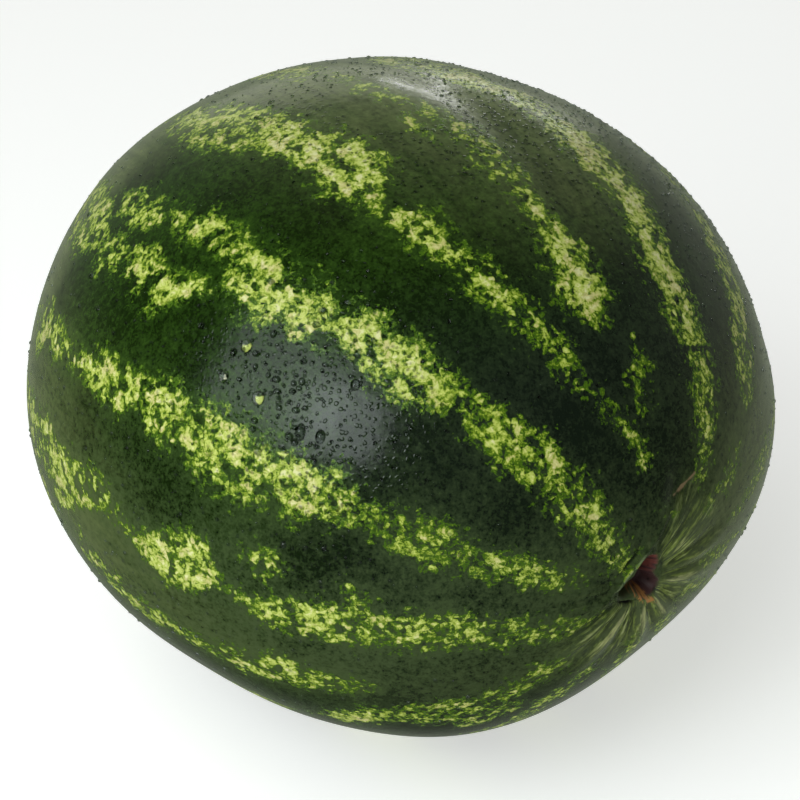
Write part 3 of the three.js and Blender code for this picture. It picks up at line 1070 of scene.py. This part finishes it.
def scarred(n, skin, base):
    """The pit with its dark shrunken tissue, red at its top corner, with orange shreds along its lower edge
    and skin that reaches in at its lower corner. A slit lies under that corner, painted black as shade,
    and a pale fold runs past above, with painted shade in the groove beside it. Returns the colour, the
    share of the pit and the strands of the tissue."""
    to_wall = n.smooth(skin.towards(208), 0.5, 0.85)
    edge = skin.into_pit + 2.0 * (skin.fleck - 0.5) - 4.4 * to_wall
    in_pit = n.smooth(edge, -0.2, 1.0)
    strands = skin.streaks(n, 6, skin.from_axis * 0.25, 0.7)
    to_red = n.smooth(skin.towards(62), 0.3, 0.9)
    tissue = n.mix(to_red * n.smooth(strands, 0.40, 0.60), SCAR_PURPLE, SCAR_RED)
    orange = attribute(n, "shreds") * n.smooth(strands, 0.45, 0.56)
    crest = n.smooth(attribute(n, "fold"), 0.72, 0.98) * n.smooth(skin.fleck, 0.30, 0.55)
    base = n.mix(n.smooth(skin.into_pit, -0.6, 0.6) * 0.5, base, HAZE_GREEN)
    base = n.mix(in_pit, base, tissue)
    base = n.mix(n.smooth(orange, 0.12, 0.5), base, SCAR_ORANGE)
    # Painted shade in the groove beside the fold and in the slit
    base = n.mix(n.smooth(attribute(n, "fold_gap"), 0.3, 0.8) * 0.85, base, SHADE_NIGHT_GREEN)
    base = n.mix(n.smooth(attribute(n, "slit"), 0.2, 0.6), base, SLIT_SHADE_BLACK)
    return n.mix(crest * 0.85, base, FOLD_GREEN), in_pit, strands


def rind_nodes(n):
    """The whole finish of the rind, from the ground up to the mist and the relief."""
    skin = Skin(n)
    tone = stripe_tone(n, skin)
    in_stripe = n.smooth(tone, -1.3, 0.4)
    skin_colour = striped(n, skin, tone, ground_colour(n, skin))
    skin_colour, streaks = rayed(n, skin, skin_colour)
    skin_colour = with_painted_sheen(n, skin, in_stripe, skin_colour)
    skin_colour = with_ground_spot(n, skin, skin_colour)
    skin_colour = with_painted_caustics(n, skin, skin_colour)
    skin_colour = with_pinch(n, skin, skin_colour)
    skin_colour, in_pit, strands = scarred(n, skin, skin_colour)

    # Mist too fine to be modelled bead by bead: dark specks painted as the shade that tiny drops show
    mist = attribute(n, "misty") * n.smooth(n.cells(skin.torn, 480), 0.38, 0.18)
    skin_colour = n.mix(mist * 0.75, skin_colour, BLACK_GREEN)

    # The stub of the stem is dry and corky
    cork_grain = n.noise(n.vector("MULTIPLY", skin.place, (60, 600, 600)), 1.0, 3.0, 0.6)
    cork = n.mix(n.smooth(cork_grain, 0.35, 0.65), CORK, CORK_PALE)
    ragged = 6 * (n.noise(skin.place, 300, 2.0) - 0.5)
    on_cork = (1 - skin.blossom_side) * n.smooth(skin.from_axis + ragged, 12, 9)
    skin_colour = n.mix(on_cork, skin_colour, cork)

    relief = weighted(
        RELIEF,
        undulation=n.noise(skin.place, 110),
        pores=n.noise(skin.place, 320),
        grain=skin.grain,
        stripes=in_stripe,
        rays=streaks,
        mist=mist,
        cork=on_cork * cork_grain,
        tissue=in_pit * strands,
    )
    normal = n.add("ShaderNodeBump", None, {"Distance": MM, "Strength": 1.0, "Height": relief})
    roughness = weighted(
        ROUGHNESS,
        everywhere=1,
        stripes=in_stripe,
        flecks=skin.fleck - 0.5,
        cork=on_cork,
        pit=in_pit,
        beads=attribute(n, "beaded"),
    )
    end_material(n, {"Base Color": skin_colour, "Roughness": roughness, "Normal": normal, "IOR": RIND_IOR})


def water_material(name, tint):
    material, nodes = new_material(name)
    end_material(
        nodes,
        {"Base Color": tint, "Roughness": 0.02, "IOR": WATER_IOR, "Transmission Weight": 1.0},
    )
    return material


# Water beads. Each kind has its own tree, with these sizes as its inputs.
BEADS = {
    "beads": {
        "where": "beaded",
        "sizes": {
            "Most Per Area": 170000.0,
            "Least Gap": 1.8 * MM,
            "Smallest": 0.5 * MM,
            "Largest": 1.4 * MM,
            "Crowding": 1.8,
            "Segments": 10,
            "Rings": 5,
            "Seed": 5,
        },
    },
    "mist": {
        "where": "misty",
        "sizes": {
            "Most Per Area": 210000.0,
            "Least Gap": 1.1 * MM,
            "Smallest": 0.24 * MM,
            "Largest": 0.8 * MM,
            "Crowding": 2.2,
            "Segments": 6,
            "Rings": 3,
            "Seed": 8,
        },
    },
}
BEAD_HEIGHT = 0.66  # of a bead's radius


def beads_tree(name, sizes, where, material):
    """Domes of water scattered over the fruit, most where its points say that it is wet."""
    nodes, given = geometry_tree(name, sizes)
    scatter = nodes.add(
        "GeometryNodeDistributePointsOnFaces",
        {"distribute_method": "POISSON"},
        {
            "Mesh": given["Geometry"],
            "Distance Min": given["Least Gap"],
            "Density Max": given["Most Per Area"],
            "Density Factor": named_number(nodes, where),
            "Seed": given["Seed"],
        },
    )
    ball = nodes.add(
        "GeometryNodeMeshUVSphere",
        None,
        {"Radius": 1.0, "Segments": given["Segments"], "Rings": given["Rings"]},
    )
    draw = random_number(nodes, 0.0, 1.0, given["Seed"])
    radius = given["Smallest"] + (given["Largest"] - given["Smallest"]) * draw ** given["Crowding"]
    stretch = random_number(nodes, 0.85, 1.25, given["Seed"] + 1)
    placed = nodes.add(
        "GeometryNodeInstanceOnPoints",
        None,
        {
            "Points": scatter,
            "Instance": ball,
            "Rotation": scatter.output("Rotation"),
            "Scale": nodes.joined(radius * stretch, radius / stretch, radius * BEAD_HEIGHT),
        },
    )
    realized = nodes.add("GeometryNodeRealizeInstances", None, {"Geometry": placed})
    smooth = nodes.add("GeometryNodeSetShadeSmooth", None, {"Geometry": realized})
    end_tree(nodes, smooth, material)
    return nodes.tree


def random_number(nodes, low, high, seed):
    inputs = {"Min_001": low, "Max_001": high, "Seed": seed}
    return nodes.add("FunctionNodeRandomValue", {"data_type": "FLOAT"}, inputs, "Value_001")


def make_large_drops(name, drops, centre, water):
    """Low domes of water that lie along the skin, drawn out downhill."""
    points, faces = [], []
    for drop in drops:
        foot = Vector(skin_place(*drop["place"]))
        outwards = Vector([foot[i] / HALF_SIZES[i] ** 2 for i in range(3)]).normalized()
        downhill = (Vector((0, 0, -1)) - outwards * -outwards.z).normalized()
        sideways = outwards.cross(downhill)
        radius, stretch = drop["radius"], drop["stretch"]
        axes = (downhill * radius * stretch, sideways * radius / stretch, outwards * radius * BEAD_HEIGHT)
        add_dome(points, faces, foot + centre, axes)
    mesh = bpy.data.meshes.new(name)
    mesh.from_pydata(points, [], faces)
    mesh.materials.append(water)
    mesh.shade_smooth()
    return new_object(name, mesh)


def add_dome(points, faces, centre, axes, around=20, rings=12):
    """Adds a closed ball, stretched along three axes, to a list of points and one of faces."""
    first = len(points)
    points.append(centre + axes[2])
    for ring in range(1, rings):
        down = math.pi * ring / rings
        for i in range(around):
            turn = 2 * math.pi * i / around
            flat = axes[0] * math.cos(turn) + axes[1] * math.sin(turn)
            points.append(centre + flat * math.sin(down) + axes[2] * math.cos(down))
    points.append(centre - axes[2])
    last = len(points) - 1
    for i in range(around):
        j = (i + 1) % around
        faces.append((first, first + 1 + i, first + 1 + j))
        for ring in range(rings - 2):
            row = first + 1 + ring * around
            faces.append((row + i, row + around + i, row + around + j, row + j))
        row = last - around
        faces.append((row + i, last, row + j))


def make_water(fruit, centre):
    """Clear drops over the painted spots of focused light, and grey-tinted water elsewhere, whose tint
    paints shade into the drops so that they show as dark rings.
    """
    clear = water_material("clear water", CLEAR_WATER)
    dark = water_material("shade tinted water", SHADE_TINTED_WATER)
    pieces = [
        make_large_drops("clear_drops", CLEAR_DROPS, centre, clear),
        make_large_drops("large_drops", DARK_DROPS, centre, dark),
    ]
    for name, spec in BEADS.items():
        tree = beads_tree("scattered " + name, spec["sizes"], spec["where"], dark)
        pieces.append(plain_mesh_of(name, fruit.data.copy(), tree, spec["sizes"]))
    return pieces


# Stage


def direction(azimuth, elevation):
    """From the fruit towards a place at this azimuth, which is 0 at -Y and 90 at +X."""
    a, e = math.radians(azimuth), math.radians(elevation)
    return Vector((math.sin(a) * math.cos(e), -math.cos(a) * math.cos(e), math.sin(e)))


FLOOR = {"half_size": 14.0, "grey": colour(0.8, 0.8, 0.8), "glow": 0.55}


def make_floor():
    size = FLOOR["half_size"]
    mesh = bpy.data.meshes.new("floor")
    corners = [(-size, -size, 0), (size, -size, 0), (size, size, 0), (-size, size, 0)]
    mesh.from_pydata(corners, [], [(0, 1, 2, 3)])
    floor = new_object("floor", mesh)
    material, nodes = new_material("pale floor")
    end_material(
        nodes,
        {
            "Base Color": FLOOR["grey"],
            "Roughness": 0.9,
            "Emission Color": colour(1, 1, 1),
            "Emission Strength": FLOOR["glow"],
        },
    )
    mesh.materials.append(material)
    floor.visible_glossy = False
    return floor


# Soft studio light. For each panel: its azimuth, elevation and distance from the fruit, its width and
# height, its brightness and its tint. The fills light the rind but aren't mirrored in it.
COOL = (0.90, 1.0, 0.98)
NEUTRAL = (1.0, 1.0, 1.0)
WARM = (1.0, 1.0, 0.86)
PANELS = {
    "key softbox": (7, 40, 1.4, 0.88, 0.72, 2.4, COOL),
    "key centre": (29, 35, 1.38, 0.60, 0.50, 3.8, COOL),
    "back panel": (-124, 14, 1.6, 1.3, 0.75, 0.48, WARM),
    "back strip": (-135, 15.5, 1.58, 0.62, 0.04, 9.0, NEUTRAL),
}
FILLS = {
    "high fill": (20, 60, 1.5, 1.2, 0.9, 2.6, NEUTRAL),
    "low fill": (0, 12, 1.5, 1.6, 0.40, 0.9, NEUTRAL),
}

# The surroundings: how bright they are in front of the fruit, behind it and to the camera, the azimuth
# where they are brightest, and their tint
WORLD = {
    "front": 0.035,
    "back": 0.30,
    "backdrop": 1.0,
    "brightest": -135,
    "tint": colour(0.90, 1.0, 0.80),
}


def make_panel(name, azimuth, elevation, distance, width, height, brightness, tint, mirrored):
    lamp = bpy.data.lights.new(name, "AREA")
    lamp.shape = "RECTANGLE"
    lamp.size = width
    lamp.size_y = height
    lamp.energy = brightness * math.pi * width * height
    lamp.color = tint
    holder = new_object(name, lamp)
    away = direction(azimuth, elevation)
    holder.location = Vector((0, 0, CENTRE_HEIGHT)) + away * distance
    holder.rotation_euler = (-away).to_track_quat("-Z", "Y").to_euler()
    holder.visible_camera = False
    holder.visible_glossy = mirrored


def make_world():
    """Surroundings that light and are mirrored in the fruit, and a pale backdrop to the camera."""
    world = bpy.data.worlds.new("studio")
    bpy.context.scene.world = world
    world.use_nodes = True
    world.node_tree.nodes.clear()
    n = Nodes(world.node_tree)
    towards = n.add("ShaderNodeTexCoord", None, None, "Generated")
    facing = n.dot(towards, tuple(direction(WORLD["brightest"], 0)))
    around = WORLD["front"] + (WORLD["back"] - WORLD["front"]) * n.smooth(facing, 0.0, 0.9)
    seen = n.add("ShaderNodeLightPath", None, None, "Is Camera Ray")
    strength = around + seen * (WORLD["backdrop"] - around)
    tint = n.mix(seen, WORLD["tint"], colour(1, 1, 1))
    light = n.add("ShaderNodeBackground", None, {"Color": tint, "Strength": strength})
    n.add("ShaderNodeOutputWorld", None, {"Surface": light})


def make_camera(centre):
    data = bpy.data.cameras.new("camera")
    data.lens = VIEW["lens"]
    data.sensor_width = VIEW["sensor_width"]
    camera = new_object("camera", data)
    back = direction(VIEW["azimuth"], VIEW["elevation"])
    a = math.radians(VIEW["azimuth"])
    right = Vector((math.cos(a), math.sin(a), 0))
    up = back.cross(right)
    camera.location = centre + back * VIEW["distance"]
    aim = centre + right * VIEW["aim_right"] - up * VIEW["aim_down"]
    camera.rotation_euler = (aim - camera.location).to_track_quat("-Z", "Y").to_euler()
    bpy.context.scene.camera = camera


rind, rind_tree = new_material("rind")
rind_nodes(rind_tree)
melon, melon_centre = make_fruit(rind)
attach(melon, "root")
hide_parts("fruit")

for piece in make_water(melon, melon_centre):
    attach(piece, "root")

make_camera(melon_centre)
make_world()
for panel_name, panel in PANELS.items():
    make_panel(panel_name, *panel, mirrored=True)
for panel_name, panel in FILLS.items():
    make_panel(panel_name, *panel, mirrored=False)
make_floor()
bpy.context.scene.view_settings.view_transform = "Standard"
